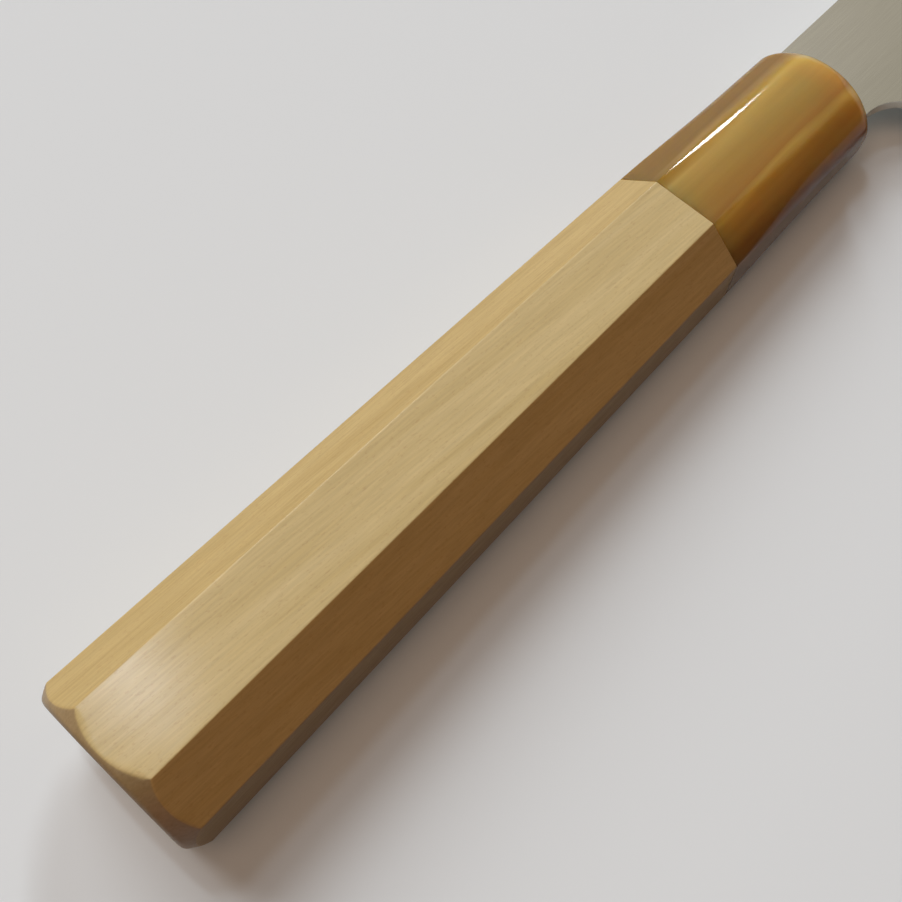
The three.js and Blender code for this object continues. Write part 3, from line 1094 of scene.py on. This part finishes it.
def softbox(name, aim, direction, distance, width, height, power, colour):
    """A round or long lamp, in metres and watts, that looks at a place on the handle from a direction.

    The place is in handle millimetres. The lamp's width lies along the knife.
    """
    lamp = bpy.data.lights.new(name, "AREA")
    lamp.shape = "ELLIPSE"
    lamp.size = width
    lamp.size_y = height
    lamp.energy = power
    lamp.color = linear(colour)[:3]
    made = bpy.data.objects.new(name, lamp)
    bpy.context.scene.collection.objects.link(made)
    back = (HANDLE_AXES @ Vector(direction)).normalized()
    upright = back.cross(FORWARD).normalized()
    turn = Matrix((upright.cross(back), upright, back)).transposed()
    made.matrix_world = Matrix.Translation(TO_PART @ Vector(aim) + back * distance) @ turn.to_4x4()


# A wide far lamp beyond the spine and a warm one overhead.
softbox(
    "key_softbox",
    aim=(-60, 0, 0),
    direction=(0.1, 0.74, 0.66),
    distance=8.0,
    width=6.5,
    height=6.5,
    power=496.0,
    colour="#fbf9fb",
)
softbox(
    "fill_softbox",
    aim=(-60, 0, 0),
    direction=(-0.3, -0.05, 0.953),
    distance=1.2,
    width=0.8,
    height=0.8,
    power=3.8,
    colour="#ffd4b6",
)
# A strip for the glint on the horn's ridge and a small lamp for the sheen beside the butt.
softbox(
    "glint_strip",
    aim=(-18, 5, 7),
    direction=(0.644, 0.531, 0.55),
    distance=3.2,
    width=0.24,
    height=1.5,
    power=36.0,
    colour="#f6f9ff",
)
softbox(
    "butt_lamp",
    aim=(-118, 1, 9),
    direction=(0.078, 0.345, 0.935),
    distance=0.8,
    width=0.03,
    height=0.12,
    power=0.62,
    colour="#eef5ff",
)

# The room, by the sine of the height angle: a pale backdrop, dark walls above it and a pale ceiling.
BACKDROP_TOP = 0.2
WALL_SPAN = (0.27, 0.33)
CEILING_EDGE = 0.55
FILL_STRENGTH = 0.015
world = bpy.data.worlds.new("studio")
bpy.context.scene.world = world
world.use_nodes = True
world.node_tree.nodes.clear()
sky = world.node_tree
gaze = add(sky, "ShaderNodeTexCoord", {}).outputs["Generated"]
direction = add(sky, "ShaderNodeSeparateXYZ", {0: gaze})
room = add(sky, "ShaderNodeValToRGB", {0: direction.outputs["Z"]})
heights = room.color_ramp.elements
heights[0].position = BACKDROP_TOP
heights[0].color = linear("#d6d4d0")
heights[1].position = CEILING_EDGE
heights[1].color = linear("#c1bdb0")
for position in WALL_SPAN:
    heights.new(position).color = linear("#5a554e")
fill = add(sky, "ShaderNodeBackground", {"Color": linear("#ffb98c"), "Strength": FILL_STRENGTH})
walls = add(sky, "ShaderNodeBackground", {"Color": room.outputs[0], "Strength": 1.0})
light = add(sky, "ShaderNodeMixShader", {0: seen_rays(sky), 1: fill.outputs[0], 2: walls.outputs[0]})
add(sky, "ShaderNodeOutputWorld", {"Surface": light.outputs[0]})

# The camera stands behind and above the butt, as in the photograph; its place fits the handle's ridges.
IMAGE_SIDE = 902
FOCAL_PIXELS = 1250
SENSOR_WIDTH = 36
CAMERA_PLACE = TO_PART @ Vector((-123.32, -37.5, 132.06))
CAMERA_AHEAD = HANDLE_AXES @ Vector((0.3372, 0.2578, -0.9055))
CAMERA_UP = HANDLE_AXES @ Vector((0.6543, 0.6273, 0.4223))
lens = bpy.data.cameras.new("camera")
lens.sensor_width = SENSOR_WIDTH
lens.lens = FOCAL_PIXELS * SENSOR_WIDTH / IMAGE_SIDE
lens.clip_start = 0.01
camera = bpy.data.objects.new("camera", lens)
bpy.context.scene.collection.objects.link(camera)
back = -CAMERA_AHEAD.normalized()
right = CAMERA_UP.cross(back).normalized()
camera_turn = Matrix((right, back.cross(right), back)).transposed()
camera.matrix_world = Matrix.Translation(CAMERA_PLACE) @ camera_turn.to_4x4()
bpy.context.scene.camera = camera
bpy.context.scene.view_settings.view_transform = "Standard"
